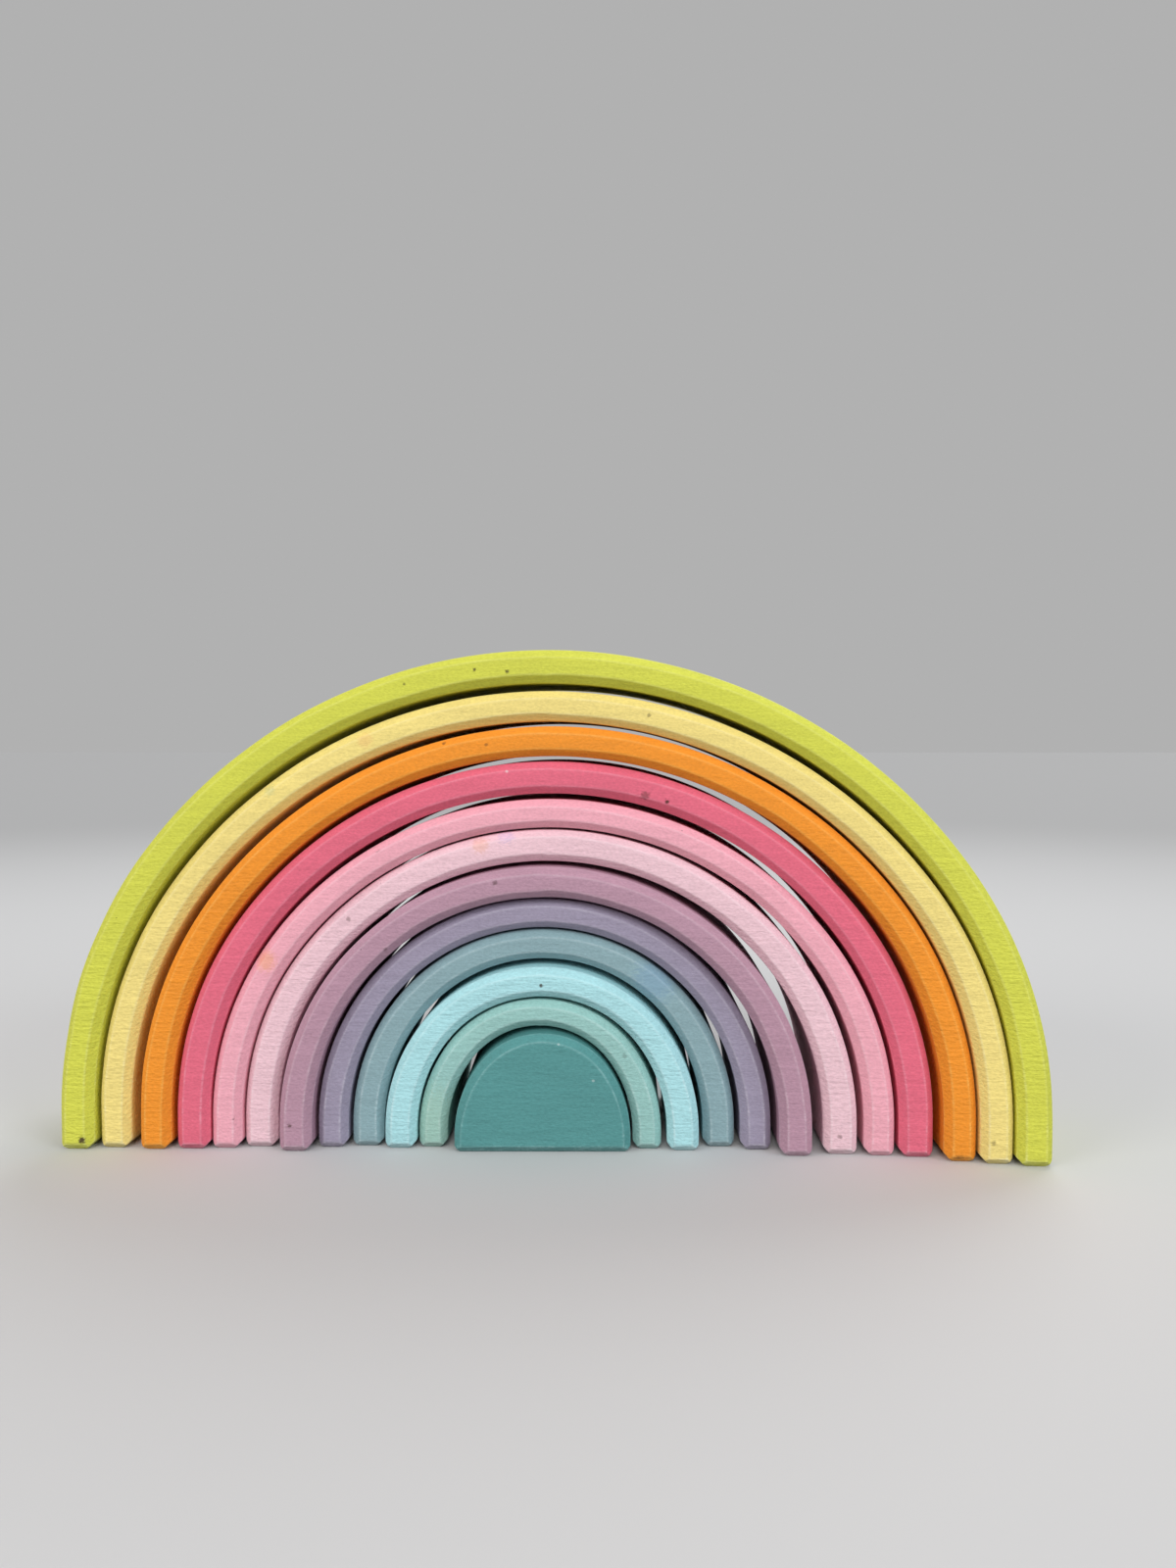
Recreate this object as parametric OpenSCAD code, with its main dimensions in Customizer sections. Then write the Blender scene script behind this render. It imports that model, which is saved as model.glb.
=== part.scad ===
// Wooden rainbow stacker: eleven arches nested over a half-round core.
// The nest is worked out from the core outwards. The hollow of each arch is the outline
// of the piece inside it plus a gap, and its own wall gives the outline for the next one.
// Front is -Y, up is +Z, and every piece stands on Z = 0.

/* [Nest] */
// Depth of every piece, front to back
depth = 70; // [50:1:100]
// Gap that is left where a piece is pushed over to one side
least_gap = 0.4; // [0.3:0.05:0.7]

/* [Outline] */
// Upright stretch below the curve of the core
core_leg = 5.5; // [3:0.5:10]
// How much higher the upright stretch goes from each piece to the next one out
leg_rise = 0.85; // [0:0.05:1.5]
// How much thicker each arch is at its legs than at its crown
leg_gain = 0.7; // [0:0.1:2]

/* [Edges] */
// Chamfer along the front and back edges on the outside of a piece
outer_edge = 2.6; // [0.5:0.1:3.5]
// Chamfer along the front and back edges on the inside of an arch
inner_edge = 2.8; // [0.5:0.1:3.5]
// Bevel under the outer side of a foot
foot_outer_bevel = 2.2; // [0.5:0.1:3]
// Bevel under the inner side of a foot
foot_inner_bevel = 3; // [0.5:0.1:4]
// Bevel under the front and back of a foot
foot_end_bevel = 2.6; // [0.5:0.1:5]

/* [Teal core] */
// Width of the core
core_width = 66; // [60:1:90]
// Height of the core
core_height = 44.5; // [36:0.5:48]

/* [Mint arch] */
// Thickness of the mint arch at its crown
mint_wall = 10.4; // [8:0.1:16]
// Gap between its crown and the piece inside it
mint_headroom = 1.6; // [0.4:0.1:4]
// Gap on each side between its legs and the piece inside it
mint_play = 1.6; // [0.8:0.1:4]
// How far the mint arch stands in front of the core
mint_ahead = -4; // [-12:0.5:12]
// Place of its front edge in that gap, -1 left to 1 right
mint_front = -1; // [-1:0.05:1]
// Place of its back edge in that gap, -1 left to 1 right
mint_back = 0.3; // [-1:0.05:1]

/* [Cyan arch] */
// Thickness of the cyan arch at its crown
cyan_wall = 11.5; // [8:0.1:16]
// Gap between its crown and the piece inside it
cyan_headroom = 1; // [0.4:0.1:4]
// Gap on each side between its legs and the piece inside it
cyan_play = 1.1; // [0.8:0.1:4]
// How far the cyan arch stands in front of the core
cyan_ahead = -2.5; // [-12:0.5:12]
// Place of its front edge in that gap, -1 left to 1 right
cyan_front = 0.95; // [-1:0.05:1]
// Place of its back edge in that gap, -1 left to 1 right
cyan_back = 0.95; // [-1:0.05:1]

/* [Slate arch] */
// Thickness of the slate arch at its crown
slate_wall = 11.4; // [8:0.1:16]
// Gap between its crown and the piece inside it
slate_headroom = 2.2; // [0.4:0.1:4]
// Gap on each side between its legs and the piece inside it
slate_play = 1; // [0.8:0.1:4]
// How far the slate arch stands in front of the core
slate_ahead = -6; // [-12:0.5:12]
// Place of its front edge in that gap, -1 left to 1 right
slate_front = 1; // [-1:0.05:1]
// Place of its back edge in that gap, -1 left to 1 right
slate_back = -1; // [-1:0.05:1]

/* [Lavender arch] */
// Thickness of the lavender arch at its crown
lavender_wall = 10.9; // [8:0.1:16]
// Gap between its crown and the piece inside it
lavender_headroom = 0.8; // [0.4:0.1:4]
// Gap on each side between its legs and the piece inside it
lavender_play = 1.4; // [0.8:0.1:4]
// How far the lavender arch stands in front of the core
lavender_ahead = -3.5; // [-12:0.5:12]
// Place of its front edge in that gap, -1 left to 1 right
lavender_front = 0.25; // [-1:0.05:1]
// Place of its back edge in that gap, -1 left to 1 right
lavender_back = 1; // [-1:0.05:1]

/* [Plum arch] */
// Thickness of the plum arch at its crown
plum_wall = 11.6; // [8:0.1:16]
// Gap between its crown and the piece inside it
plum_headroom = 1; // [0.4:0.1:4]
// Gap on each side between its legs and the piece inside it
plum_play = 1.6; // [0.8:0.1:4]
// How far the plum arch stands in front of the core
plum_ahead = 2; // [-12:0.5:12]
// Place of its front edge in that gap, -1 left to 1 right
plum_front = 0.4; // [-1:0.05:1]
// Place of its back edge in that gap, -1 left to 1 right
plum_back = 0.95; // [-1:0.05:1]

/* [Light pink arch] */
// Thickness of the light pink arch at its crown
light_pink_wall = 12; // [8:0.1:16]
// Gap between its crown and the piece inside it
light_pink_headroom = 1.5; // [0.4:0.1:4]
// Gap on each side between its legs and the piece inside it
light_pink_play = 2.8; // [0.8:0.1:4]
// How far the light pink arch stands in front of the core
light_pink_ahead = -1.5; // [-12:0.5:12]
// Place of its front edge in that gap, -1 left to 1 right
light_pink_front = 0.5; // [-1:0.05:1]
// Place of its back edge in that gap, -1 left to 1 right
light_pink_back = 0.8; // [-1:0.05:1]

/* [Pink arch] */
// Thickness of the pink arch at its crown
pink_wall = 10.7; // [8:0.1:16]
// Gap between its crown and the piece inside it
pink_headroom = 0.6; // [0.4:0.1:4]
// Gap on each side between its legs and the piece inside it
pink_play = 1.3; // [0.8:0.1:4]
// How far the pink arch stands in front of the core
pink_ahead = 0; // [-12:0.5:12]
// Place of its front edge in that gap, -1 left to 1 right
pink_front = 1; // [-1:0.05:1]
// Place of its back edge in that gap, -1 left to 1 right
pink_back = 0.6; // [-1:0.05:1]

/* [Raspberry arch] */
// Thickness of the raspberry arch at its crown
raspberry_wall = 12; // [8:0.1:16]
// Gap between its crown and the piece inside it
raspberry_headroom = 1.9; // [0.4:0.1:4]
// Gap on each side between its legs and the piece inside it
raspberry_play = 0.8; // [0.8:0.1:4]
// How far the raspberry arch stands in front of the core
raspberry_ahead = 1; // [-12:0.5:12]
// Place of its front edge in that gap, -1 left to 1 right
raspberry_front = 1; // [-1:0.05:1]
// Place of its back edge in that gap, -1 left to 1 right
raspberry_back = 1; // [-1:0.05:1]

/* [Orange arch] */
// Thickness of the orange arch at its crown
orange_wall = 11.2; // [8:0.1:16]
// Gap between its crown and the piece inside it
orange_headroom = 1.7; // [0.4:0.1:4]
// Gap on each side between its legs and the piece inside it
orange_play = 2.1; // [0.8:0.1:4]
// How far the orange arch stands in front of the core
orange_ahead = 3.5; // [-12:0.5:12]
// Place of its front edge in that gap, -1 left to 1 right
orange_front = 0.3; // [-1:0.05:1]
// Place of its back edge in that gap, -1 left to 1 right
orange_back = 0.7; // [-1:0.05:1]

/* [Yellow arch] */
// Thickness of the yellow arch at its crown
yellow_wall = 11.3; // [8:0.1:16]
// Gap between its crown and the piece inside it
yellow_headroom = 1.5; // [0.4:0.1:4]
// Gap on each side between its legs and the piece inside it
yellow_play = 2.1; // [0.8:0.1:4]
// How far the yellow arch stands in front of the core
yellow_ahead = 4; // [-12:0.5:12]
// Place of its front edge in that gap, -1 left to 1 right
yellow_front = -0.9; // [-1:0.05:1]
// Place of its back edge in that gap, -1 left to 1 right
yellow_back = -0.5; // [-1:0.05:1]

/* [Lime arch] */
// Thickness of the lime arch at its crown
lime_wall = 12.2; // [8:0.1:16]
// Gap between its crown and the piece inside it
lime_headroom = 2.6; // [0.4:0.1:4]
// Gap on each side between its legs and the piece inside it
lime_play = 0.9; // [0.8:0.1:4]
// How far the lime arch stands in front of the core
lime_ahead = 6; // [-12:0.5:12]
// Place of its front edge in that gap, -1 left to 1 right
lime_front = -0.8; // [-1:0.05:1]
// Place of its back edge in that gap, -1 left to 1 right
lime_back = -1; // [-1:0.05:1]

/* [Hidden] */
NODES = ["teal_core", "mint_arch", "cyan_arch", "slate_arch", "lavender_arch", "plum_arch",
    "light_pink_arch", "pink_arch", "raspberry_arch", "orange_arch", "yellow_arch", "lime_arch"];
$fn = 96;
// How far a cutting shape reaches past what it cuts
OVERSHOOT = 1;
// How far the upright stretch of an outline stands inside its side arcs
TUCK = 0.02;

// A piece's place in the nest, counted outwards from the core
function place(name) = search([name], NODES)[0];
function is_core(k) = k == 0;
function is_outermost(k) = k == len(NODES) - 1;

// One value for each place, with the core first
WALLS = [0, mint_wall, cyan_wall, slate_wall, lavender_wall, plum_wall, light_pink_wall,
    pink_wall, raspberry_wall, orange_wall, yellow_wall, lime_wall];
HEADROOMS = [0, mint_headroom, cyan_headroom, slate_headroom, lavender_headroom, plum_headroom,
    light_pink_headroom, pink_headroom, raspberry_headroom, orange_headroom, yellow_headroom,
    lime_headroom];
PLAYS = [0, mint_play, cyan_play, slate_play, lavender_play, plum_play, light_pink_play,
    pink_play, raspberry_play, orange_play, yellow_play, lime_play];
AHEADS = [0, mint_ahead, cyan_ahead, slate_ahead, lavender_ahead, plum_ahead, light_pink_ahead,
    pink_ahead, raspberry_ahead, orange_ahead, yellow_ahead, lime_ahead];
FRONTS = [0, mint_front, cyan_front, slate_front, lavender_front, plum_front, light_pink_front,
    pink_front, raspberry_front, orange_front, yellow_front, lime_front];
BACKS = [0, mint_back, cyan_back, slate_back, lavender_back, plum_back, light_pink_back,
    pink_back, raspberry_back, orange_back, yellow_back, lime_back];

// Half widths and heights of the nest, from the core outwards
function nest_half(k) = is_core(k) ? core_width / 2 : nest_half(k - 1) + PLAYS[k] + WALLS[k] + leg_gain;
function nest_tall(k) = is_core(k) ? core_height : nest_tall(k - 1) + HEADROOMS[k] + WALLS[k];

// Outlines are kept to round sizes, so that arcs of different radii end on exactly the same points
ROUND_TO = 0.1;
function whole(size) = round(size / ROUND_TO) * ROUND_TO;
function outer_half(k) = whole(nest_half(k));
function outer_tall(k) = whole(nest_tall(k));
function hollow_half(k) = whole(nest_half(k - 1) + PLAYS[k]);
function hollow_tall(k) = whole(nest_tall(k - 1) + HEADROOMS[k]);
function leg(k) = whole(core_leg + k * leg_rise);

// Above its legs an outline is a three-centred curve: a side arc, the crown arc and the other
// side arc. They meet on lines that climb 3 in 4, the slope of a 3-4-5 triangle. The half width
// and the rise of the curve give the radius of the side arcs, and the rest follows.
HAUNCH = [4, 3, 5];
CROWN_SHARE = (HAUNCH[2] - HAUNCH[1]) / HAUNCH[0];
function side_radius(half, rise) = (rise - half * CROWN_SHARE) / (1 - CROWN_SHARE);
function crown_radius(side, centre) = side + centre * HAUNCH[2] / HAUNCH[0];
function crown_drop(centre) = centre * HAUNCH[1] / HAUNCH[0];

// Stance of each piece. The outermost arch faces straight ahead, and each piece inside it
// is turned and set over by as much as its neighbour uses up of the free play.
function free_play(k) = PLAYS[k] - least_gap;
function swing(k) = asin((FRONTS[k] - BACKS[k]) * free_play(k) / depth);
function set_over(k) = (FRONTS[k] + BACKS[k]) / 2 * free_play(k);
function turn(k) = is_outermost(k) ? 0 : turn(k + 1) - swing(k + 1);
function middle(k) = is_outermost(k) ? 0 : middle(k + 1) - set_over(k + 1);

module stand(k) {
    translate([middle(k), 0, 0])
        rotate([0, 0, turn(k)])
            translate([0, -AHEADS[k], 0])
                children();
}

module both_sides() {
    children();
    mirror([1, 0, 0]) children();
}

// Half cross section of a solid, from its axis out to a radius, with chamfered edges
module solid_section(radius) {
    front = depth / 2;
    edge = whole(outer_edge);
    polygon([
        [0, -front],
        [radius - edge, -front],
        [radius, edge - front],
        [radius, front - edge],
        [radius - edge, front],
        [0, front]
    ]);
}

// Half cross section of a hollow, which flares towards the front and back
module hollow_section(radius) {
    front = depth / 2;
    edge = whole(inner_edge);
    mouth = radius + edge + OVERSHOOT;
    polygon([
        [0, -front - OVERSHOOT],
        [mouth, -front - OVERSHOOT],
        [radius, edge - front],
        [radius, front - edge],
        [mouth, front + OVERSHOOT],
        [0, front + OVERSHOOT]
    ]);
}

module section(radius, hollow) {
    if (hollow) hollow_section(radius);
    else solid_section(radius);
}

// One sector of the section swept about an axis that runs front to back
module bend(radius, hollow, sector) {
    rotate([90, 0, 0])
        intersection() {
            rotate_extrude() section(radius, hollow);
            linear_extrude(depth + 4 * OVERSHOOT, center = true) polygon(sector);
        }
}

// A whole outline filled in: the crown, the two side arcs and the upright stretch below them.
// The parts run on inside each other, and the upright stretch is tucked in behind the side arcs,
// so that their faces cross. In a tall outline the side arcs are centred past the middle.
module dome(half, tall, spring, hollow) {
    side = side_radius(half, tall - spring);
    centre = half - side;
    crown = crown_radius(side, centre);
    run = HAUNCH[0] * tall;
    climb = HAUNCH[1] * tall;
    start = max(0, -centre - OVERSHOOT);
    wide = centre > 0;
    crown_sector = wide
        ? [[0, 0], [run, climb], [-run, climb]]
        : [[run, 0], [run, climb], [-run, climb], [-run, 0]];
    side_sector = wide
        ? [[0, -climb], [run, -climb], [run, climb], [0, climb]]
        : [[start, -climb], [run, -climb], [run, climb], [start, crown_drop(start)]];
    translate([0, 0, spring - crown_drop(centre)])
        bend(crown, hollow, crown_sector);
    both_sides()
        translate([centre, 0, spring])
            bend(side, hollow, side_sector);
    linear_extrude(spring)
        both_sides()
            section(half - TUCK, hollow);
}

// Prism that takes off a lower edge along Y, where the wood lies towards -X
module side_cut(bevel) {
    rotate([90, 0, 0])
        linear_extrude(depth + 2 * OVERSHOOT, center = true)
            polygon([
                [-bevel - OVERSHOOT, -OVERSHOOT],
                [OVERSHOOT, -OVERSHOOT],
                [OVERSHOOT, bevel + OVERSHOOT]
            ]);
}

// Prism that takes off the lower front edge along X
module front_cut(bevel, width) {
    translate([0, -depth / 2, 0])
        rotate([90, 0, 90])
            linear_extrude(width + 2 * OVERSHOOT, center = true)
                polygon([
                    [bevel + OVERSHOOT, -OVERSHOOT],
                    [-OVERSHOOT, -OVERSHOOT],
                    [-OVERSHOOT, bevel + OVERSHOOT]
                ]);
}

// A filled outline cut level with the floor, with its lower edges bevelled
module block(k) {
    half = outer_half(k);
    tall = outer_tall(k);
    difference() {
        intersection() {
            dome(half, tall, leg(k), false);
            translate([-half, -depth / 2, 0]) cube([2 * half, depth, tall]);
        }
        both_sides()
            translate([half, 0, 0]) side_cut(foot_outer_bevel);
        front_cut(foot_end_bevel, 2 * half);
        mirror([0, 1, 0]) front_cut(foot_end_bevel, 2 * half);
    }
}

// One arch of the nest: its block, less the hollow for the piece inside it
module arch(k) {
    half = hollow_half(k);
    difference() {
        block(k);
        dome(half, hollow_tall(k), leg(k), true);
        both_sides()
            translate([half, 0, 0]) mirror([1, 0, 0]) side_cut(foot_inner_bevel);
    }
}

// A piece of the nest in its place
module standing(name) {
    k = place(name);
    stand(k)
        if (is_core(k)) block(k);
        else arch(k);
}

module teal_core() {
    color([0.34, 0.58, 0.57]) standing("teal_core");
}

module mint_arch() {
    color([0.60, 0.77, 0.74]) standing("mint_arch");
}

module cyan_arch() {
    color([0.68, 0.87, 0.89]) standing("cyan_arch");
}

module slate_arch() {
    color([0.55, 0.66, 0.68]) standing("slate_arch");
}

module lavender_arch() {
    color([0.62, 0.58, 0.66]) standing("lavender_arch");
}

module plum_arch() {
    color([0.73, 0.56, 0.63]) standing("plum_arch");
}

module light_pink_arch() {
    color([0.93, 0.77, 0.80]) standing("light_pink_arch");
}

module pink_arch() {
    color([0.96, 0.68, 0.73]) standing("pink_arch");
}

module raspberry_arch() {
    color([0.90, 0.43, 0.51]) standing("raspberry_arch");
}

module orange_arch() {
    color([0.99, 0.60, 0.22]) standing("orange_arch");
}

module yellow_arch() {
    color([0.99, 0.89, 0.54]) standing("yellow_arch");
}

module lime_arch() {
    color([0.83, 0.83, 0.34]) standing("lime_arch");
}

teal_core();
mint_arch();
cyan_arch();
slate_arch();
lavender_arch();
plum_arch();
light_pink_arch();
pink_arch();
raspberry_arch();
orange_arch();
yellow_arch();
lime_arch();
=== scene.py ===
import math
from collections import namedtuple

import bpy
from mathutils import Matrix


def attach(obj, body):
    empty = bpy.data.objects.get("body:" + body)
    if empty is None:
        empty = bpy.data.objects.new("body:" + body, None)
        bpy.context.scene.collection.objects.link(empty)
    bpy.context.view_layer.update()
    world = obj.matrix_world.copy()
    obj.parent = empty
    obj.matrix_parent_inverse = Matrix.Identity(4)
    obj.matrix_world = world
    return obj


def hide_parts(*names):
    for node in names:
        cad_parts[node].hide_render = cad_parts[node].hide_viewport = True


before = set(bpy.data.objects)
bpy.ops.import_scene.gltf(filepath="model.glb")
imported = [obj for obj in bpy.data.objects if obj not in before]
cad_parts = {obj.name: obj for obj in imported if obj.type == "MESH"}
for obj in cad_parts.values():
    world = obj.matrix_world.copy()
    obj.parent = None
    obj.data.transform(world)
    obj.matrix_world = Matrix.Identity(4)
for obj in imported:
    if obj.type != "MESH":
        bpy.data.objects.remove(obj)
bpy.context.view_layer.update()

# Sizes are in millimetres and degrees, as in the construction, and MM takes them to the scene's metres
MM = 0.001

# The nest
DEPTH = 70.0
LEAST_GAP = 0.4
CORE_WIDTH = 66.0
CORE_HEIGHT = 44.5
CORE_LEG = 5.5
LEG_RISE = 0.85
LEG_GAIN = 0.7
ROUND_TO = 0.1

# Chamfers along the edges and bevels round the feet
OUTER_EDGE = 2.6
INNER_EDGE = 2.8
OUTER_FOOT = 2.2
INNER_FOOT = 3.0
END_FOOT = 2.6

# Sanding by hand: how far ridges are rounded, chamfers waver and faces are worn down, and over what lengths
EASE = 0.35
WAVER = 0.45
WORN = 0.22
WAVE_LENGTH = 26.0
FACET_LENGTH = 21.0
FACET_SHARE = 0.6

# Wear of the stain, with a painted highlight along the ridges: how far it reaches from a ridge, and between
# which distances it grows at the edge of a foot
RIDGE_REACH = 0.7
FOOT_REACH = (-0.9, 0.3)

# Random draws of a piece: a step from piece to piece, then apart for its skins, chamfers, faces and quarters
PIECE_DRAW = 3.7
OUTSIDE_DRAW = 0.0
HOLLOW_DRAW = 1.3
OUTER_DRAW = 2.1
INNER_DRAW = 4.4
FACE_DRAW = 6.2
RIGHT_RUN = 100.0
BEHIND_RUN = 300.0
OUTER_RUN = 0.0
INNER_RUN = 1000.0

# Spacing of the points that carry the shape: close together along the edges, wide apart on the faces. In a thin
# wall the close steps take up no more than a share of it.
CLOSE = 0.42
CLOSE_STEPS = 10
CLOSE_SHARE = 0.45
WIDE_ALONG = 2.4
WIDE_STEPS_DEEP = 9
WIDE_STEPS_ACROSS = 2

# The side arcs of an outline end at the haunch, where lines from their centres rise 3 in 4
HAUNCH = math.atan2(3, 4)
HAUNCH_SLANT = 5 / 4
CROWN_TURN = math.pi / 2 - HAUNCH

# The arches from the inside out. Ahead is how far an arch stands out to the front. Front and back say how much
# of the free play beside the piece inside it is used up there, as a share to the right.
Arch = namedtuple("Arch", "name wall headroom play ahead front back")
ARCHES = (
    Arch("mint", 10.4, 1.6, 1.6, -4.0, -1.0, 0.3),
    Arch("cyan", 11.5, 1.0, 1.1, -2.5, 0.95, 0.95),
    Arch("slate", 11.4, 2.2, 1.0, -6.0, 1.0, -1.0),
    Arch("lavender", 10.9, 0.8, 1.4, -3.5, 0.25, 1.0),
    Arch("plum", 11.6, 1.0, 1.6, 2.0, 0.4, 0.95),
    Arch("light_pink", 12.0, 1.5, 2.8, -1.5, 0.5, 0.8),
    Arch("pink", 10.7, 0.6, 1.3, 0.0, 1.0, 0.6),
    Arch("raspberry", 12.0, 1.9, 0.8, 1.0, 1.0, 1.0),
    Arch("orange", 11.2, 1.7, 2.1, 3.5, 0.3, 0.7),
    Arch("yellow", 11.3, 1.5, 2.1, 4.0, -0.9, -0.5),
    Arch("lime", 12.2, 2.6, 0.9, 6.0, -0.8, -1.0),
)

# Stains as they look on a screen
STAINS = {
    "teal": (86, 147, 146),
    "mint": (152, 196, 190),
    "cyan": (174, 223, 228),
    "slate": (140, 169, 175),
    "lavender": (157, 148, 169),
    "plum": (184, 144, 162),
    "light_pink": (237, 198, 207),
    "pink": (241, 172, 186),
    "raspberry": (229, 108, 131),
    "orange": (244, 150, 44),
    "yellow": (243, 221, 134),
    "lime": (213, 215, 80),
}

# The camera stands where the photo was taken from
CAMERA_AT = (36.7, -455.6, 152.0)
CAMERA_DOWN = 2.0
CAMERA_TURN = 2.93
CAMERA_LENS = 26.46
CAMERA_LONG_SIDE = 36.0
CAMERA_CLOSEST = 10.0


def whole(size):
    return math.floor(size / ROUND_TO + 0.5) * ROUND_TO


def linear(colour):
    """A screen colour as the amounts of light that a material holds."""
    shares = [step / 255 for step in colour]
    return [share / 12.92 if share <= 0.04045 else ((share + 0.055) / 1.055) ** 2.4 for share in shares]


# Stance of the nested pieces

Piece = namedtuple("Piece", "name half tall hollow_half hollow_tall leg turn middle ahead")


def nested_pieces():
    """The core and the arches with their outlines, each turned and set over within the play beside it."""
    half, tall = CORE_WIDTH / 2, CORE_HEIGHT
    outlines = [(half, tall, 0.0, 0.0)]
    for arch in ARCHES:
        hollow_half, hollow_tall = half + arch.play, tall + arch.headroom
        half, tall = hollow_half + arch.wall + LEG_GAIN, hollow_tall + arch.wall
        outlines.append((half, tall, hollow_half, hollow_tall))

    turn, middle = 0.0, 0.0
    stances = [(turn, middle)]
    for arch in reversed(ARCHES):
        free = arch.play - LEAST_GAP
        turn -= math.asin((arch.front - arch.back) * free / DEPTH)
        middle -= (arch.front + arch.back) / 2 * free
        stances.append((turn, middle))
    stances.reverse()

    names = ["teal"] + [arch.name for arch in ARCHES]
    aheads = [0.0] + [arch.ahead for arch in ARCHES]
    return [
        Piece(name, *map(whole, outlines[k]), whole(CORE_LEG + k * LEG_RISE), *stances[k], aheads[k])
        for k, name in enumerate(names)
    ]


# Node trees written as arithmetic


class Field:
    """A value that changes over a surface. Arithmetic with it adds nodes to its tree."""

    def __init__(self, wiring, socket):
        self.wiring = wiring
        self.socket = socket

    def __add__(self, other):
        return self.wiring.math("ADD", self, other)

    def __sub__(self, other):
        return self.wiring.math("SUBTRACT", self, other)

    def __rsub__(self, other):
        return self.wiring.math("SUBTRACT", other, self)

    def __mul__(self, other):
        return self.wiring.math("MULTIPLY", self, other)

    def __truediv__(self, other):
        return self.wiring.math("DIVIDE", self, other)

    __radd__ = __add__
    __rmul__ = __mul__


class Wiring:
    """Adds nodes to a tree and links them."""

    def __init__(self, tree):
        self.tree = tree

    def feed(self, socket, value):
        if isinstance(value, Field):
            self.tree.links.new(value.socket, socket)
        else:
            socket.default_value = value

    def node(self, kind, feeds=None, **settings):
        node = self.tree.nodes.new(kind)
        for name, value in settings.items():
            setattr(node, name, value)
        for name, value in (feeds or {}).items():
            self.feed(node.inputs[name], value)
        return node

    def field(self, kind, feeds=None, output=0, **settings):
        return Field(self, self.node(kind, feeds, **settings).outputs[output])

    def math(self, operation, *terms):
        return self.field("ShaderNodeMath", dict(enumerate(terms)), operation=operation)

    def least(self, one, other):
        return self.math("MINIMUM", one, other)

    def most(self, one, other):
        return self.math("MAXIMUM", one, other)

    def share(self, value, start, end):
        """How far a value has come from start to end, from 0 to 1, with soft ends."""
        return self.field(
            "ShaderNodeMapRange",
            {"Value": value, "From Min": start, "From Max": end},
            interpolation_type="SMOOTHSTEP",
        )

    def vector(self, x, y, z):
        return self.field("ShaderNodeCombineXYZ", {"X": x, "Y": y, "Z": z})

    def split(self, vector):
        node = self.node("ShaderNodeSeparateXYZ", {"Vector": vector})
        return [Field(self, socket) for socket in node.outputs]

    def cloud(self, vector, seed=0.0, detail=1.0):
        """Smooth random values from about 0 to 1 that change over one unit of the vector."""
        return self.field(
            "ShaderNodeTexNoise",
            {"Vector": vector, "W": seed, "Scale": 1.0, "Detail": detail},
            noise_dimensions="4D",
        )


# Shapes


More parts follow.
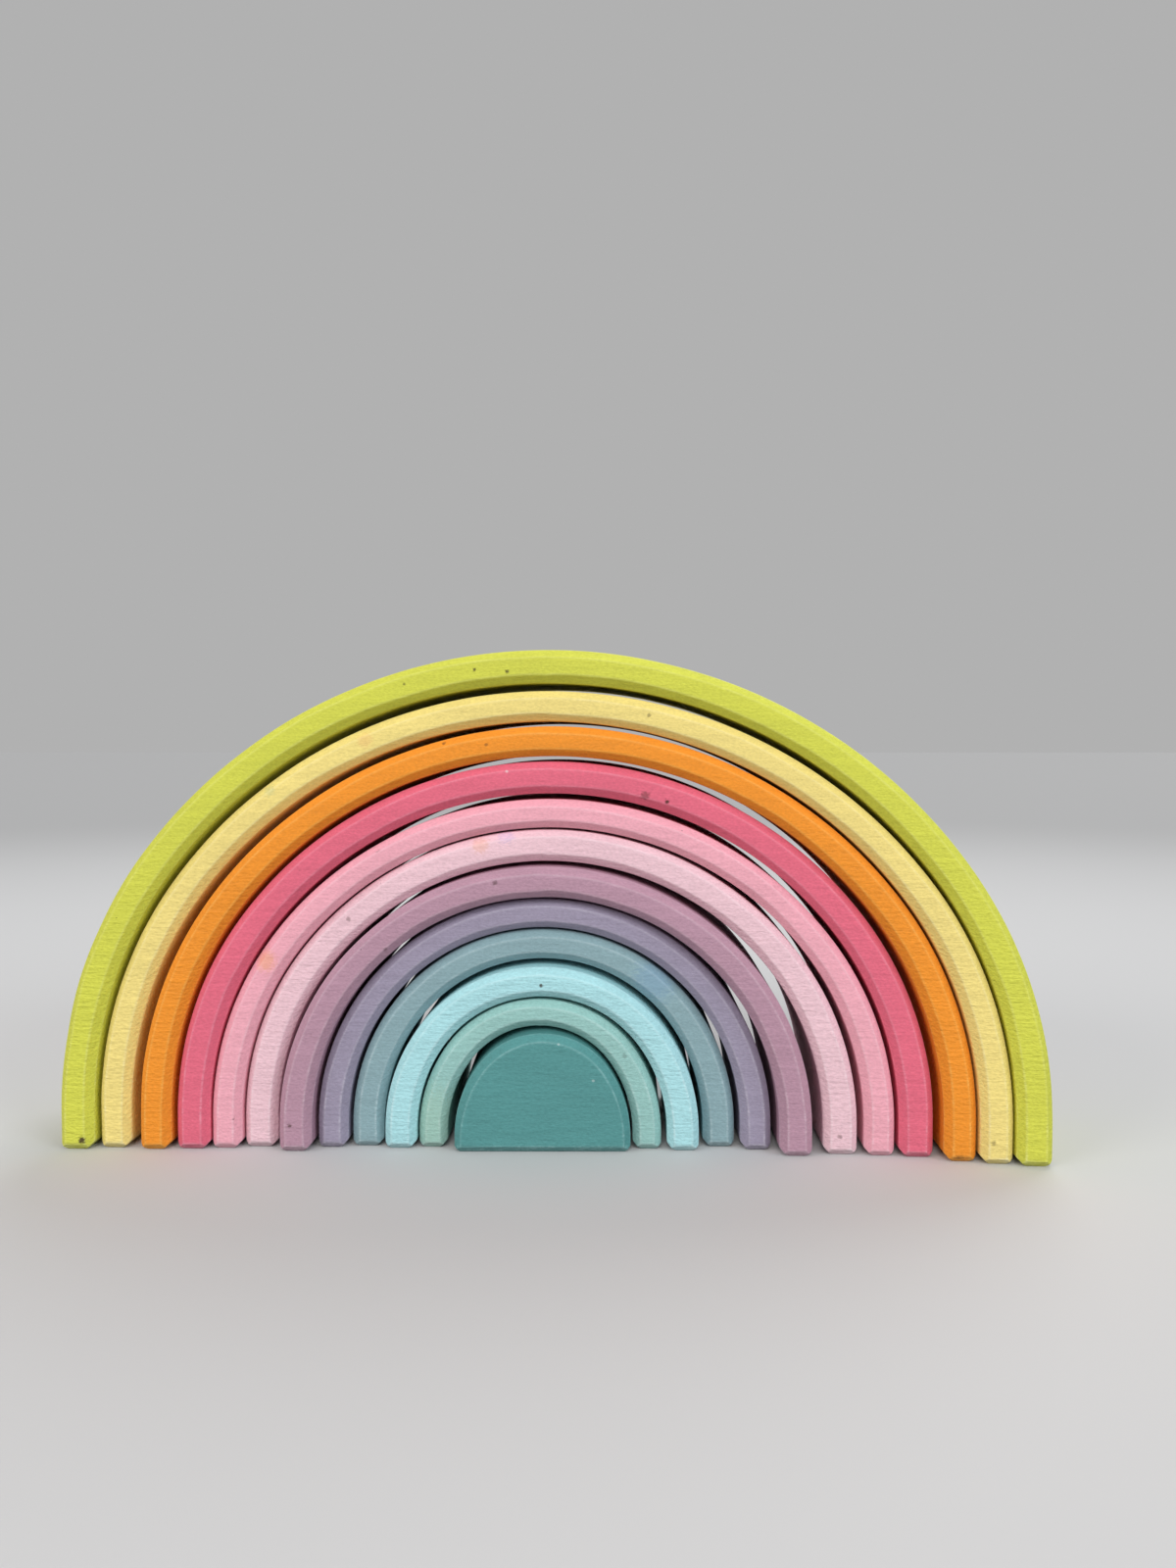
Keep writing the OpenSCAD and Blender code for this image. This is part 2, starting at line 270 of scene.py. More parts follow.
class Shaping(Wiring):
    """A Geometry Nodes tree that draws a block over a rule."""

    def __init__(self, name):
        super().__init__(bpy.data.node_groups.new(name, "GeometryNodeTree"))
        self.tree.interface.new_socket("Geometry", in_out="OUTPUT", socket_type="NodeSocketGeometry")

    def inputs(self, kinds):
        """Named inputs of the tree, as fields."""
        for name, kind in kinds.items():
            self.tree.interface.new_socket(name, in_out="INPUT", socket_type=kind)
        node = self.node("NodeGroupInput")
        return {name: Field(self, node.outputs[name]) for name in kinds}

    def block(self, size):
        """A block of points and each point's place in it, from -1/2 to 1/2 along, deep and across."""
        block = self.field(
            "GeometryNodeMeshCube",
            {
                "Size": (1, 1, 1),
                "Vertices X": size["Points along"],
                "Vertices Y": size["Points deep"],
                "Vertices Z": size["Points across"],
            },
        )
        return block, self.split(self.field("GeometryNodeInputPosition"))

    def spaced(self, place, points, length, close):
        """Distance from the nearer end of a row of points that stand close together at both ends."""
        steps = (0.5 - self.math("ABSOLUTE", place)) * (points - 1.0)
        wide = (length * 0.5 - close * CLOSE_STEPS) / ((points - 1.0) * 0.5 - CLOSE_STEPS)
        return close * self.least(steps, CLOSE_STEPS) + wide * self.most(steps - CLOSE_STEPS, 0.0)

    def below_skin(self, across, points, wall, close):
        """Distance of a point from the outside of a wall."""
        from_skin = self.spaced(across, points, wall, close)
        outward = self.math("GREATER_THAN", across, 0.0)
        return from_skin * outward + (wall - from_skin) * (1.0 - outward)

    def cut(self, one, other, width, ease):
        """How far a chamfer between two faces moves a point away from both."""
        over = width - one - other
        return (over + self.math("SQRT", over * over + ease * ease)) * 0.25

    def random(self, place, seed):
        node = self.node("FunctionNodeRandomValue", {"ID": place, "Seed": seed})
        return Field(self, node.outputs[1])

    def facets(self, walk, run, seed):
        """Random values from -1 to 1 that change in straight stretches, as chamfers sanded by hand do."""
        stretch = walk / (FACET_LENGTH * MM)
        first = self.math("FLOOR", stretch)
        start = self.random(first + run, seed)
        end = self.random(first + run + 1.0, seed)
        return (start + (end - start) * (stretch - first)) * 2.0 - 1.0

    def finish(self, block, spot, size, marks):
        """Marks the block's points, moves them, stands the piece in the nest and gives it its wood."""
        geometry = block
        for name, value in marks.items():
            geometry = self.field(
                "GeometryNodeStoreNamedAttribute",
                {"Geometry": geometry, "Name": name, "Value": value},
                data_type="FLOAT",
                domain="POINT",
            )
        geometry = self.field("GeometryNodeSetPosition", {"Geometry": geometry, "Position": spot})
        geometry = self.field(
            "GeometryNodeTransform",
            {
                "Geometry": geometry,
                "Translation": self.vector(size["Middle"], 0.0, 0.0),
                "Rotation": self.vector(0.0, 0.0, size["Turn"]),
            },
        )
        geometry = self.field("GeometryNodeSetShadeSmooth", {"Geometry": geometry})
        geometry = self.field("GeometryNodeRealizeInstances", {"Geometry": geometry})
        geometry = self.field("GeometryNodeSetMaterial", {"Geometry": geometry, "Material": size["Wood"]})
        self.node("NodeGroupOutput", {"Geometry": geometry})
        return self.tree


SIZES = (
    "Half width", "Height", "Hollow half width", "Hollow height", "Leg", "Depth", "Outer edge", "Inner edge",
    "Outer foot", "Inner foot", "End foot", "Ease", "Waver", "Worn", "Turn", "Middle", "Ahead",
)
INPUTS = dict.fromkeys(SIZES, "NodeSocketFloat")
INPUTS.update(dict.fromkeys(("Points along", "Points deep", "Points across", "Seed"), "NodeSocketInt"))
INPUTS["Wood"] = "NodeSocketMaterial"


class Outline:
    """A three-centred outline: upright legs, side arcs and a crown arc."""

    def __init__(self, half, tall, leg):
        self.side = 2.0 * (tall - leg) - half
        self.centre = half - self.side
        self.crown = self.side + self.centre * HAUNCH_SLANT

    def at(self, foot, side_turn, crown_turn, shaping):
        """The point of the right half after climbing the leg and turning along both arcs."""
        past = crown_turn + HAUNCH
        x = self.centre + self.side * shaping.math("COSINE", side_turn)
        x = x + self.crown * (shaping.math("COSINE", past) - math.cos(HAUNCH))
        z = foot + self.side * shaping.math("SINE", side_turn)
        z = z + self.crown * (shaping.math("SINE", past) - math.sin(HAUNCH))
        return x, z


def share_out(shaping, walk, leg, side_length, crown_length):
    """Splits a walk up an outline into the climb of the leg and the turns along the side and crown arcs."""
    above = shaping.most(walk - leg, 0.0)
    side_turn = shaping.least(above / side_length, 1.0) * HAUNCH
    crown_turn = shaping.least(shaping.most(above - side_length, 0.0) / crown_length, 1.0) * CROWN_TURN
    return shaping.least(walk, leg), side_turn, crown_turn


def skin_way(shaping, stretch):
    """The way out of a skin, across and up, after turning along its arcs."""
    slope = stretch[1] + stretch[2]
    return shaping.math("COSINE", slope), shaping.math("SINE", slope)


class Sanding:
    """What sanding by hand took off a piece."""

    def __init__(self, shaping, size, walk, place, quarter):
        waves = (1 / (WAVE_LENGTH * MM),) * 3
        right, behind = quarter
        self.shaping = shaping
        self.size = size
        self.walk = walk
        self.place = shaping.field(
            "ShaderNodeVectorMath", {0: shaping.vector(*place), 1: waves}, operation="MULTIPLY"
        )
        self.draw = size["Seed"] * PIECE_DRAW
        self.run = right * RIGHT_RUN + behind * BEHIND_RUN

    def worn(self, draw):
        """How far a skin or face is worn down."""
        return self.shaping.cloud(self.place, self.draw + draw) * self.size["Worn"]

    def edge(self, name, draw, run):
        """Width of a chamfer, which wavers in straight stretches and in soft waves."""
        facets = self.shaping.facets(self.walk, self.run + run, self.size["Seed"]) * FACET_SHARE
        waves = self.shaping.cloud(self.place, self.draw + draw)
        return self.size[name] + self.size["Waver"] * (facets + waves - 0.5)


def on_ridge(shaping, over):
    """1 on a ridge, where a chamfer starts, and 0 away from it."""
    return 1.0 - shaping.least(shaping.math("ABSOLUTE", over) / (RIDGE_REACH * MM), 1.0)


def on_foot(shaping, over):
    """1 on the bevels of a foot, and 0 away from them."""
    start, end = FOOT_REACH
    return shaping.share(over, start * MM, end * MM)


def chamfered(shaping, to_face, to_out, to_in, outer_edge, inner_edge, ease):
    """Moves a point off the front and back edges of an arch, and says how near it is to a ridge."""
    ridge = shaping.most(
        on_ridge(shaping, outer_edge - to_face - to_out),
        on_ridge(shaping, inner_edge - to_face - to_in),
    )
    move = shaping.cut(to_face, to_out, outer_edge, ease)
    to_face, to_out, to_in = to_face + move, to_out + move, to_in - move
    move = shaping.cut(to_face, to_in, inner_edge, ease)
    return ridge, to_face + move, to_out - move, to_in + move


def bevelled(shaping, size, to_floor, to_face, to_out, to_in):
    """Moves a point off the edges of a foot, and says whether it is on the bevels."""
    ease = size["Ease"]
    over = shaping.most(size["Outer foot"] - to_floor - to_out, size["Inner foot"] - to_floor - to_in)
    over = shaping.most(over, size["End foot"] - to_floor - to_face)
    lift = shaping.cut(to_floor, to_out, size["Outer foot"], ease)
    to_floor, to_in = to_floor + lift, to_in - lift
    move = shaping.cut(to_floor, to_in, size["Inner foot"], ease)
    to_floor, to_in, lift = to_floor + move, to_in + move, lift + move
    move = shaping.cut(to_floor, to_face, size["End foot"], ease)
    return on_foot(shaping, over), to_face + move, to_in, lift + move


def arch_tree():
    """An arch: a block of points bent over its hollow, with chamfered edges and bevelled feet."""
    shaping = Shaping("arch")
    size = shaping.inputs(INPUTS)
    block, (along, deep, across) = shaping.block(size)
    right, behind = shaping.math("SIGN", along), shaping.math("SIGN", deep)

    outside = Outline(size["Half width"], size["Height"], size["Leg"])
    hollow = Outline(size["Hollow half width"], size["Hollow height"], size["Leg"])
    side_length = (outside.side + hollow.side) * (HAUNCH / 2)
    crown_length = (outside.crown + hollow.crown) * (CROWN_TURN / 2)
    length = (size["Leg"] + side_length + crown_length) * 2.0
    walk = shaping.spaced(along, size["Points along"], length, CLOSE * MM)
    stretch = share_out(shaping, walk, size["Leg"], side_length, crown_length)
    out_x, out_z = outside.at(*stretch, shaping)
    in_x, in_z = hollow.at(*stretch, shaping)
    out_across, out_up = skin_way(shaping, stretch)

    sanding = Sanding(shaping, size, walk, (out_x * right, deep * size["Depth"], out_z), (right, behind))
    out_worn, in_worn = sanding.worn(OUTSIDE_DRAW), sanding.worn(HOLLOW_DRAW)
    out_x, out_z = out_x - out_across * out_worn, out_z - out_up * out_worn
    in_x, in_z = in_x + out_across * in_worn, in_z + out_up * in_worn
    wall = (out_x - in_x) * out_across + (out_z - in_z) * out_up
    outer_edge = sanding.edge("Outer edge", OUTER_DRAW, OUTER_RUN)
    inner_edge = sanding.edge("Inner edge", INNER_DRAW, INNER_RUN)

    to_out = shaping.below_skin(across, size["Points across"], wall, CLOSE * MM)
    to_in = wall - to_out
    to_face = shaping.spaced(deep, size["Points deep"], size["Depth"], CLOSE * MM)
    ridge, to_face, to_out, to_in = chamfered(
        shaping, to_face, to_out, to_in, outer_edge, inner_edge, size["Ease"]
    )
    foot, to_face, to_in, lift = bevelled(shaping, size, walk, to_face, to_out, to_in)

    reach = to_in / wall
    x = (in_x + (out_x - in_x) * reach) * right
    y = (size["Depth"] * 0.5 - to_face - sanding.worn(FACE_DRAW)) * behind - size["Ahead"]
    z = in_z + (out_z - in_z) * reach + lift
    return shaping.finish(block, shaping.vector(x, y, z), size, {"ridge": ridge, "foot": foot})


def core_tree():
    """The core: a block of points drawn out from its flat underside to its outline."""
    shaping = Shaping("core")
    size = shaping.inputs(INPUTS)
    block, (along, deep, across) = shaping.block(size)
    right, behind = shaping.math("SIGN", along), shaping.math("SIGN", deep)

    outside = Outline(size["Half width"], size["Height"], size["Leg"])
    side_length, crown_length = outside.side * HAUNCH, outside.crown * CROWN_TURN
    length = (size["Leg"] + side_length + crown_length - size["Outer foot"]) * 2.0
    climb = shaping.spaced(along, size["Points along"], length, CLOSE * MM)
    walk = climb + size["Outer foot"]
    stretch = share_out(shaping, walk, size["Leg"], side_length, crown_length)
    out_x, out_z = outside.at(*stretch, shaping)
    out_across, out_up = skin_way(shaping, stretch)

    sanding = Sanding(shaping, size, walk, (out_x * right, deep * size["Depth"], out_z), (right, behind))
    out_worn = sanding.worn(OUTSIDE_DRAW)
    out_x, out_z = out_x - out_across * out_worn, out_z - out_up * out_worn
    low_x = (size["Half width"] - size["Outer foot"]) * (1.0 - climb / (length * 0.5))
    wall = (out_x - low_x) * out_across + out_z * out_up
    outer_edge = sanding.edge("Outer edge", OUTER_DRAW, OUTER_RUN)

    close = shaping.least(wall * (CLOSE_SHARE / CLOSE_STEPS), CLOSE * MM)
    to_out = shaping.below_skin(across, size["Points across"], wall, close)
    reach = 1.0 - to_out / wall
    to_floor = out_z * reach
    to_face = shaping.spaced(deep, size["Points deep"], size["Depth"], CLOSE * MM)

    ridge = on_ridge(shaping, outer_edge - to_face - to_out)
    foot = on_foot(shaping, size["End foot"] - to_floor - to_face)
    inward = shaping.cut(to_face, to_out, outer_edge, size["Ease"])
    to_face = to_face + inward
    lift = shaping.cut(to_floor, to_face, size["End foot"], size["Ease"])
    to_face = to_face + lift

    x = (low_x + (out_x - low_x) * reach - out_across * inward) * right
    y = (size["Depth"] * 0.5 - to_face - sanding.worn(FACE_DRAW)) * behind - size["Ahead"]
    z = out_z * reach - out_up * inward + lift
    return shaping.finish(block, shaping.vector(x, y, z), size, {"ridge": ridge, "foot": foot})


# Wood

# Random streaks: length along the grain, width across it, draw and fineness
Streaks = namedtuple("Streaks", "length width draw detail")
SOAKED = Streaks(34.0, 17.0, 0.0, 2.0)
GRAIN = Streaks(30.0, 1.8, 10.0, 3.0)
LONG_RIPPLE = Streaks(8.0, 1.1, 20.0, 2.0)
SHORT_RIPPLE = Streaks(2.4, 1.2, 25.0, 2.0)
FLECK = Streaks(1.2, 0.6, 30.0, 2.0)
RUB = Streaks(7.0, 4.0, 40.0, 2.0)
PITTED = Streaks(40.0, 25.0, 50.0, 2.0)
WOOD_DRAW = 17.0

# How much they make the stain lighter and darker. The ripples' share is painted light and shade, lighter on
# the crests and darker in the troughs.
SOAKED_TONE = 0.14
GRAIN_TONE = 0.26
RIPPLE_PAINTED_SHADE = 0.16
FLECK_TONE = 0.45

# Ripples left by the saw and the cutter: weakest at the crown, full on the sides, and stronger on some pieces.
# Their heights give the relief, and painted light and shade in the colour too.
RIPPLE = 0.6
CROWN_RIPPLE = 0.35
CROWN_HEIGHT = 150.0
SIDE_HEIGHT = 60.0
RIPPLED = {"lime": 0.85, "yellow": 0.75, "orange": 0.75, "light_pink": 0.65, "cyan": 0.8, "mint": 0.6}
RIPPLED_ELSE = 0.4

# Rubbed places, where the stain is paler: its amounts of light are raised to a power. Ridges and feet are
# rubbed all along and more in patches, and the ridges' patches are strongest low down. The pale line all
# along the ridges is worn stain and a painted highlight on the rounded ridge as well.
PALE_POWER = 0.58
RUB_RAGGED = 0.8
RUB_FROM_TO = (0.45, 0.70)
RIDGE_WEAR_AND_HIGHLIGHT = 0.3
RIDGE_PATCH = 0.2
LOW_PATCH = 0.5
LOW_STARTS = 55.0
LOW_FULL = 4.0
FOOT_RUB = 0.35
FOOT_PATCH = 0.5

# Pits in some places
PIT_SPACING = 7.0
PIT_SIZE = 0.32
PIT_STRENGTH = 0.8
PIT_DARK = 0.25
PITTED_FROM_TO = (0.52, 0.62)
PIT_DRAW = (0.37, 0.61, 0.23)

# Matt surface with a slight relief
ROUGH = 0.66
ROUGH_CHANGE = 0.2
SHEEN = 0.3
GRAIN_RELIEF = 0.12
FLECK_RELIEF = 0.15
RELIEF_STRENGTH = 0.8
RELIEF_HEIGHT = 1.0

# Marks of play on the fronts: middle and size, colour and strength. Their edges are ragged and soft.
MARK_RAGGED = 1.4
MARK_FROM_TO = (1.1, 0.35)
Mark = namedtuple("Mark", "x y z size colour strength")
KNOT = (0.05, 0.025, 0.012)
PALE = (0.80, 0.86, 0.84)
RUST = (0.90, 0.40, 0.16)
VIOLET = (0.50, 0.42, 0.80)
MOSS = (0.45, 0.55, 0.30)
STEEL = (0.20, 0.36, 0.56)
MARKS = {
    "teal": (
        Mark(2.9, -34.7, 44.9, 1.0, PALE, 0.35),
        Mark(4.3, -34.7, 40.9, 0.65, PALE, 0.35),
        Mark(17.0, -34.0, 27.4, 0.6, PALE, 0.3),
    ),
    "mint": (
        Mark(14.3, -30.5, 52.1, 1.0, KNOT, 0.4),
        Mark(28.5, -30.2, 35.7, 1.2, KNOT, 0.3),
        Mark(-43.0, -31.0, 10.0, 17.0, MOSS, 0.2),
    ),
    "cyan": (Mark(-2.4, -32.5, 62.3, 0.9, KNOT, 0.9),),
    "slate": (Mark(39.7, -27.2, 63.8, 10.0, STEEL, 0.35),),
    "plum": (
        Mark(-95.5, -39.2, 10.4, 1.0, KNOT, 0.7),
        Mark(-18.8, -37.4, 101.1, 1.1, KNOT, 0.6),
        Mark(-59.3, -38.3, 76.0, 1.1, KNOT, 0.6),
    ),
    "light_pink": (
        Mark(-24.7, -33.8, 114.7, 4.0, RUST, 0.3),
        Mark(-15.6, -33.7, 119.1, 4.5, VIOLET, 0.3),
        Mark(-74.1, -34.5, 86.8, 1.2, KNOT, 0.4),
        Mark(107.9, -32.1, 7.5, 1.2, KNOT, 0.5),
    ),
    "pink": (
        Mark(-104.9, -36.9, 71.6, 5.0, RUST, 0.5),
        Mark(-117.0, -37.1, 11.9, 0.9, KNOT, 0.7),
        Mark(-62.9, -36.1, 112.6, 1.2, KNOT, 0.3),
    ),
    "raspberry": (
        Mark(36.0, -35.4, 133.1, 2.2, KNOT, 0.5),
        Mark(44.2, -35.2, 130.9, 1.1, KNOT, 0.9),
        Mark(-14.5, -36.3, 141.9, 0.75, PALE, 0.5),
    ),
    "orange": (
        Mark(-37.5, -37.7, 152.3, 1.0, KNOT, 0.6),
        Mark(-21.7, -38.7, 151.6, 0.85, KNOT, 0.5),
        Mark(149.9, -37.3, 1.7, 2.2, KNOT, 0.4),
    ),
    "yellow": (
        Mark(-102.5, -38.9, 135.1, 3.0, MOSS, 0.3),
        Mark(-66.3, -38.9, 153.4, 3.6, RUST, 0.25),
        Mark(161.4, -39.2, 8.4, 1.1, KNOT, 0.5),
        Mark(-154.6, -38.8, 18.8, 3.2, MOSS, 0.4),
        Mark(37.3, -39.1, 162.2, 0.9, KNOT, 0.5),
    ),
    "lime": (
        Mark(-173.6, -41.0, 4.1, 1.7, KNOT, 0.95),
        Mark(-25.6, -41.0, 178.8, 0.8, KNOT, 0.8),
        Mark(-13.8, -41.0, 178.1, 0.9, KNOT, 0.8),
        Mark(-51.3, -41.0, 173.6, 0.7, KNOT, 0.6),
    ),
}


class Wood(Wiring):
    """The node tree of one piece's wood, on the piece's own coordinates."""

    def __init__(self, material, draw):
        super().__init__(material.node_tree)
        self.draw = draw
        self.place = self.field("ShaderNodeTexCoord", output="Object")

    def streaks(self, kind):
        """Random values drawn out along the grain, which runs from side to side."""
        scale = [1 / (size * MM) for size in (kind.length, kind.width, kind.width)]
        vector = self.field("ShaderNodeMapping", {"Vector": self.place, "Scale": scale})
        return self.cloud(vector, self.draw + kind.draw, kind.detail)

    def attribute(self, name):
        return self.field("ShaderNodeAttribute", output="Fac", attribute_name=name)

    def mix(self, amount, one, other):
        """One colour, with an amount of another laid over it."""
        node = self.node("ShaderNodeMix", {0: amount, 6: one, 7: (*other, 1.0)}, data_type="RGBA")
        return Field(self, node.outputs[2])

    def pits(self):
        """Small round holes, scattered."""
        scale = [1 / (PIT_SPACING * MM)] * 3
        shift = [self.draw * part for part in PIT_DRAW]
        vector = self.field("ShaderNodeMapping", {"Vector": self.place, "Scale": scale, "Location": shift})
        away = self.field("ShaderNodeTexVoronoi", {"Vector": vector, "Scale": 1.0}, output="Distance")
        return self.share(away, PIT_SIZE / PIT_SPACING, 0.5 * PIT_SIZE / PIT_SPACING)

    def mark(self, mark, edge):
        """How much a mark covers."""
        middle = (mark.x * MM, mark.y * MM, mark.z * MM)
        away = self.field(
            "ShaderNodeVectorMath", {0: self.place, 1: middle}, output="Value", operation="DISTANCE"
        )
        reach = away / (mark.size * MM) + (edge - 0.5) * MARK_RAGGED
        return self.share(reach, *MARK_FROM_TO) * mark.strength


def rippled(wood, name, height):
    """Ripples, as heights above and below the face."""
    waves = (wood.streaks(LONG_RIPPLE) - 0.5) * RIPPLE + (wood.streaks(SHORT_RIPPLE) - 0.5) * RIPPLE
    steep = wood.share(height, CROWN_HEIGHT * MM, SIDE_HEIGHT * MM)
    return waves * (CROWN_RIPPLE + steep * (1.0 - CROWN_RIPPLE)) * RIPPLED.get(name, RIPPLED_ELSE)


def rubbed_and_highlit(wood, height, fleck):
    """How much the colour turns pale: stain rubbed off, and a painted highlight along the ridges."""
    low = wood.share(height, LOW_STARTS * MM, LOW_FULL * MM)
    patch = wood.share(wood.streaks(RUB) + (fleck - 0.5) * RUB_RAGGED, *RUB_FROM_TO)
    # The pale line all along a ridge is worn stain and a painted highlight on the rounded ridge.
    ridge = wood.attribute("ridge") * (RIDGE_WEAR_AND_HIGHLIGHT + patch * (RIDGE_PATCH + low * LOW_PATCH))
    foot = wood.attribute("foot") * (FOOT_RUB + patch * FOOT_PATCH)
    return wood.least(ridge + foot, 1.0)


def stained_wood(name, colour, draw):
    """Light wood soaked with a thin stain: streaks along the grain, ripples with painted light and shade,
    rubbed places, a painted highlight along the ridges, pits and marks.
    """
    material = bpy.data.materials.new(name)
    material.use_nodes = True
    wood = Wood(material, draw)
    height = wood.split(wood.place)[2]
    grain, fleck = wood.streaks(GRAIN), wood.streaks(FLECK)
    ripple = rippled(wood, name, height)

    stain = linear(colour)
    tone = 1.0 + (wood.streaks(SOAKED) - 0.5) * SOAKED_TONE + (grain - 0.5) * GRAIN_TONE
    # Ripple heights tint the colour too: painted light and shade on the ripples, lighter on the crests and
    # darker in the troughs.
    tone = tone + ripple * RIPPLE_PAINTED_SHADE + (fleck - 0.5) * FLECK_TONE
    surface = wood.vector(*[tone * part for part in stain])
    # Pale colour for the rubbed places and for the painted highlight along the ridges.
    pale = [part**PALE_POWER for part in stain]
    surface = wood.mix(rubbed_and_highlit(wood, height, fleck), surface, pale)
    dark = [PIT_DARK * part for part in stain]
    here = wood.share(wood.streaks(PITTED), *PITTED_FROM_TO)
    surface = wood.mix(wood.pits() * here * PIT_STRENGTH, surface, dark)
    for mark in MARKS.get(name, ()):
        surface = wood.mix(wood.mark(mark, fleck), surface, mark.colour)

    relief = ripple + grain * GRAIN_RELIEF + fleck * FLECK_RELIEF
    bump = wood.field(
        "ShaderNodeBump", {"Height": relief, "Strength": RELIEF_STRENGTH, "Distance": RELIEF_HEIGHT * MM}
    )
    shader = material.node_tree.nodes["Principled BSDF"]
    wood.feed(shader.inputs["Base Color"], surface)
    wood.feed(shader.inputs["Roughness"], ROUGH + (grain - 0.5) * ROUGH_CHANGE)
    wood.feed(shader.inputs["Specular IOR Level"], SHEEN)
    wood.feed(shader.inputs["Normal"], bump)
    return material


# Pieces


def even_points(length):
    """Points along an outline: close together at the feet, wide apart between."""
    return 2 * (CLOSE_STEPS + round(length / 2 / WIDE_ALONG)) + 1


def mesh_of(tree, name, values):
    """A mesh drawn by a tree with the given inputs."""
    sockets = [item for item in tree.interface.items_tree if item.in_out == "INPUT"]
    identifiers = {socket.name: socket.identifier for socket in sockets}
    drawn = bpy.data.objects.new(name, bpy.data.meshes.new(name))
    bpy.context.scene.collection.objects.link(drawn)
    modifier = drawn.modifiers.new("shape", "NODES")
    modifier.node_group = tree
    for input_name, value in values.items():
        modifier[identifiers[input_name]] = value
    graph = bpy.context.evaluated_depsgraph_get()
    shaped = drawn.evaluated_get(graph)
    mesh = bpy.data.meshes.new_from_object(shaped, preserve_all_data_layers=True, depsgraph=graph)
    drawn.modifiers.remove(modifier)
    drawn.data = mesh
    mesh.name = name
    return drawn


def stand_piece(tree, piece, seed):
    """Draws a piece where it stands in the nest and lets it take the place of its node."""
    node = "teal_core" if piece.name == "teal" else piece.name + "_arch"
    body = "core" if piece.name == "teal" else piece.name
    wood = stained_wood(piece.name, STAINS[piece.name], WOOD_DRAW * seed)
    lengths = {
        "Half width": piece.half, "Height": piece.tall,
        "Hollow half width": piece.hollow_half, "Hollow height": piece.hollow_tall,
        "Leg": piece.leg, "Depth": DEPTH, "Outer edge": OUTER_EDGE, "Inner edge": INNER_EDGE,
        "Outer foot": OUTER_FOOT, "Inner foot": INNER_FOOT, "End foot": END_FOOT,
        "Ease": EASE, "Waver": WAVER, "Worn": WORN, "Middle": piece.middle, "Ahead": piece.ahead,
    }
    values = {name: length * MM for name, length in lengths.items()}
    values["Turn"] = piece.turn
    values["Points along"] = even_points(math.pi * (piece.half + piece.tall) / 2)
    values["Points deep"] = 2 * (CLOSE_STEPS + WIDE_STEPS_DEEP) + 1
    values["Points across"] = 2 * (CLOSE_STEPS + WIDE_STEPS_ACROSS) + 1
    values["Seed"] = seed
    values["Wood"] = wood
    drawn = mesh_of(tree, "wood_" + node, values)
    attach(drawn, body)
    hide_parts(node)


# Studio

# The floor's grey as it is seen near the nest and far away, and as it throws light back at the pieces
FLOOR_SIZE = 40000.0
FLOOR_NEAR = 0.66
FLOOR_FAR = 0.43
FLOOR_BOUNCE = 0.22
NEAR_ENDS = 400.0
FAR_STARTS = 2000.0
FLOOR_ROUGH = 0.8
FLOOR_SHEEN = 0.2

# The light all round, and the backdrop's grey as it is seen
WORLD_LIGHT = (0.35, 0.35, 0.36)
WORLD_PALE = 0.44

# Soft lamps, far enough away to light the floor evenly: way to the lamp, strength, width and colour
Lamp = namedtuple("Lamp", "name way strength width colour")
LAMPS = (
    Lamp("front", (0.0, -1.60, 1.01), 1.34, 36.0, (1.0, 0.98, 0.96)),
    Lamp("left", (-1.50, -1.10, 0.71), 0.8, 29.0, (1.0, 0.98, 0.96)),
    Lamp("right", (1.50, -1.10, 0.71), 0.95, 29.0, (0.86, 0.95, 1.0)),
    Lamp("back", (0.60, 1.20, 1.50), 1.0, 40.0, (1.0, 1.0, 1.0)),
)


def background_ray(wiring):
    """1 where a ray shows the floor or the backdrop, and 0 where it only brings their light to the pieces."""
    path = wiring.node("ShaderNodeLightPath")
    camera, glossy, clear = [
        Field(wiring, path.outputs[f"Is {kind} Ray"]) for kind in ("Camera", "Glossy", "Transmission")
    ]
    return wiring.most(camera, wiring.most(glossy, clear))


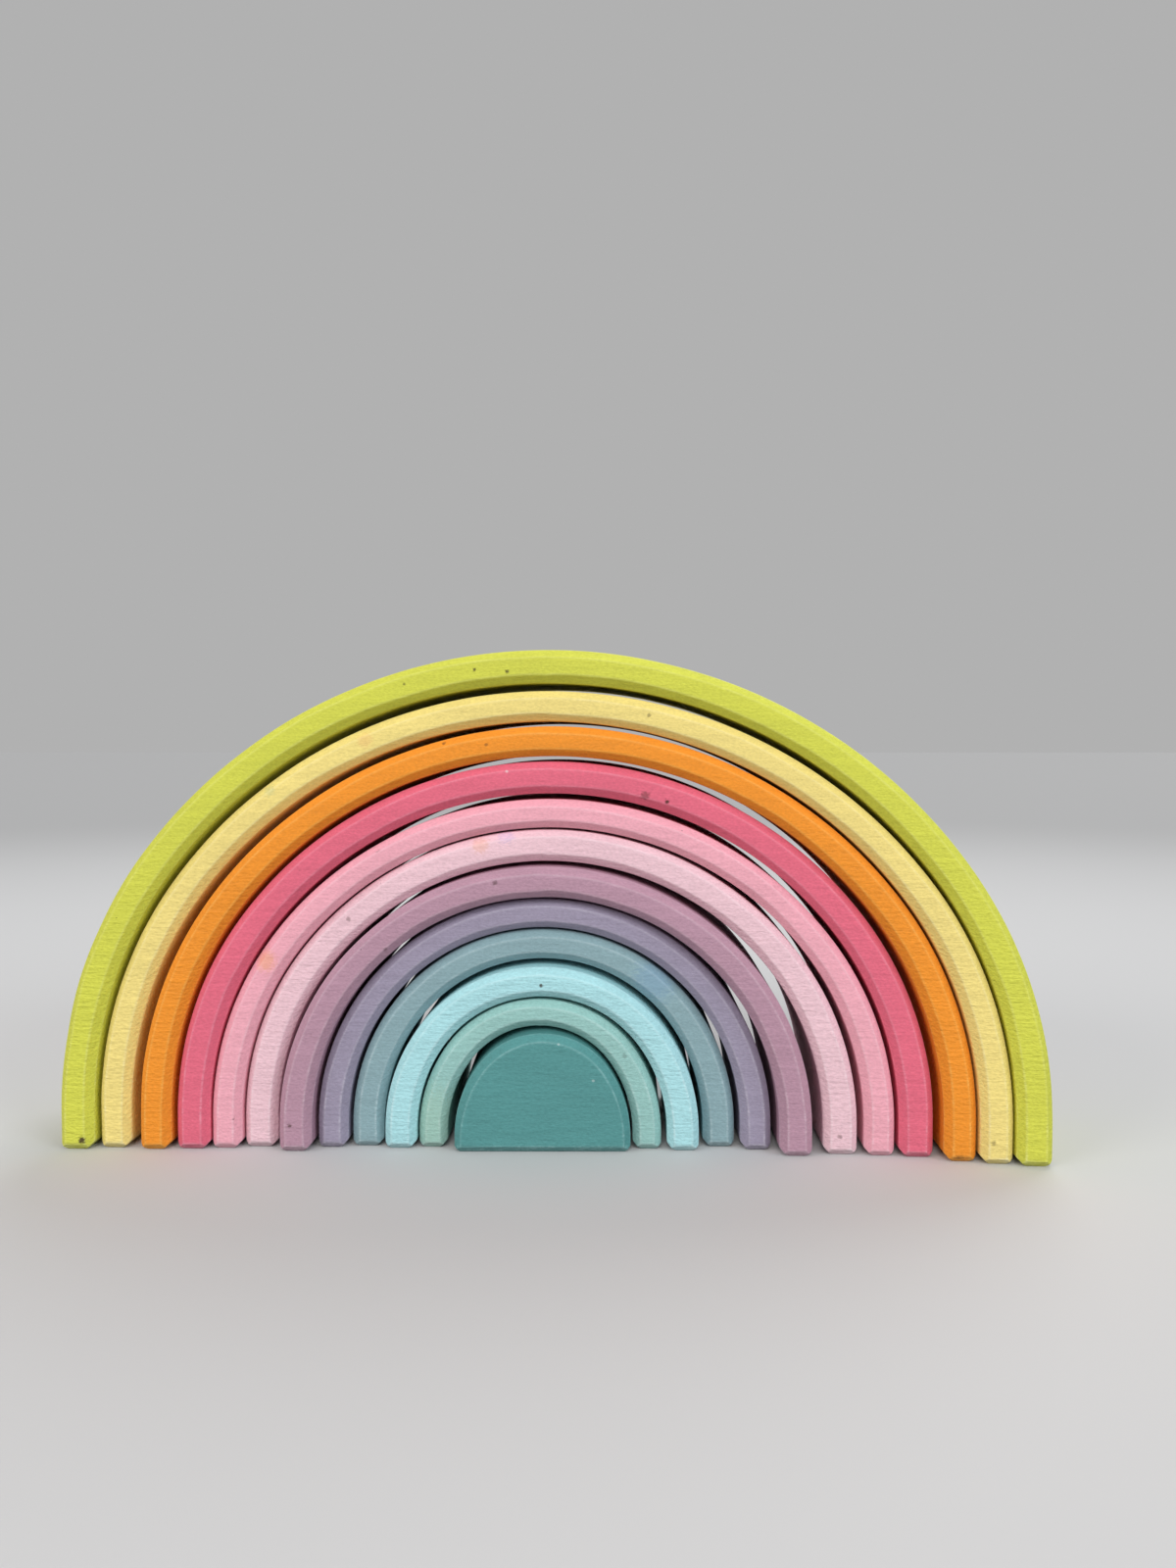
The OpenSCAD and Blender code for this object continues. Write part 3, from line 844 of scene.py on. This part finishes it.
def pale_floor():
    """A plain pale floor that throws little light back up at the pieces."""
    material = bpy.data.materials.new("floor")
    material.use_nodes = True
    wiring = Wiring(material.node_tree)
    shader = material.node_tree.nodes["Principled BSDF"]
    place = wiring.field("ShaderNodeTexCoord", output="Object")
    away = wiring.field("ShaderNodeVectorMath", {0: place}, output="Value", operation="LENGTH")
    pale = FLOOR_NEAR + wiring.share(away, NEAR_ENDS * MM, FAR_STARTS * MM) * (FLOOR_FAR - FLOOR_NEAR)
    grey = FLOOR_BOUNCE + background_ray(wiring) * (pale - FLOOR_BOUNCE)
    wiring.feed(shader.inputs["Base Color"], grey)
    wiring.feed(shader.inputs["Roughness"], FLOOR_ROUGH)
    wiring.feed(shader.inputs["Specular IOR Level"], FLOOR_SHEEN)

    half = FLOOR_SIZE * MM / 2
    mesh = bpy.data.meshes.new("floor")
    corners = [(-half, -half, 0), (half, -half, 0), (half, half, 0), (-half, half, 0)]
    mesh.from_pydata(corners, [], [(0, 1, 2, 3)])
    mesh.materials.append(material)
    floor = bpy.data.objects.new("floor", mesh)
    bpy.context.scene.collection.objects.link(floor)


def hang(lamp):
    """A soft lamp that shines from its way towards the nest."""
    light = bpy.data.lights.new(lamp.name, "SUN")
    light.energy = lamp.strength
    light.angle = math.radians(lamp.width)
    light.color = lamp.colour
    lit = bpy.data.objects.new(lamp.name, light)
    lit.location = lamp.way
    x, y, z = lamp.way
    lit.rotation_euler = (math.atan2(math.hypot(x, y), z), 0.0, math.atan2(x, -y))
    bpy.context.scene.collection.objects.link(lit)


def light_all_round():
    """Soft light from everywhere, before a plain backdrop."""
    world = bpy.data.worlds.new("studio")
    world.use_nodes = True
    wiring = Wiring(world.node_tree)
    seen = background_ray(wiring)
    light = [seen * (WORLD_PALE - part) + part for part in WORLD_LIGHT]
    wiring.feed(world.node_tree.nodes["Background"].inputs["Color"], wiring.vector(*light))
    bpy.context.scene.world = world


def stand_camera():
    camera = bpy.data.cameras.new("camera")
    camera.sensor_width = CAMERA_LONG_SIDE
    camera.lens = CAMERA_LENS
    camera.clip_start = CAMERA_CLOSEST * MM
    stand = bpy.data.objects.new("camera", camera)
    stand.location = [part * MM for part in CAMERA_AT]
    stand.rotation_euler = (math.radians(90.0 - CAMERA_DOWN), 0.0, math.radians(CAMERA_TURN))
    bpy.context.scene.collection.objects.link(stand)
    bpy.context.scene.camera = stand


core, arch = core_tree(), arch_tree()
for seed, piece in enumerate(nested_pieces()):
    stand_piece(arch if piece.hollow_half else core, piece, seed)
pale_floor()
light_all_round()
for lamp in LAMPS:
    hang(lamp)
stand_camera()
bpy.context.scene.view_settings.view_transform = "Standard"
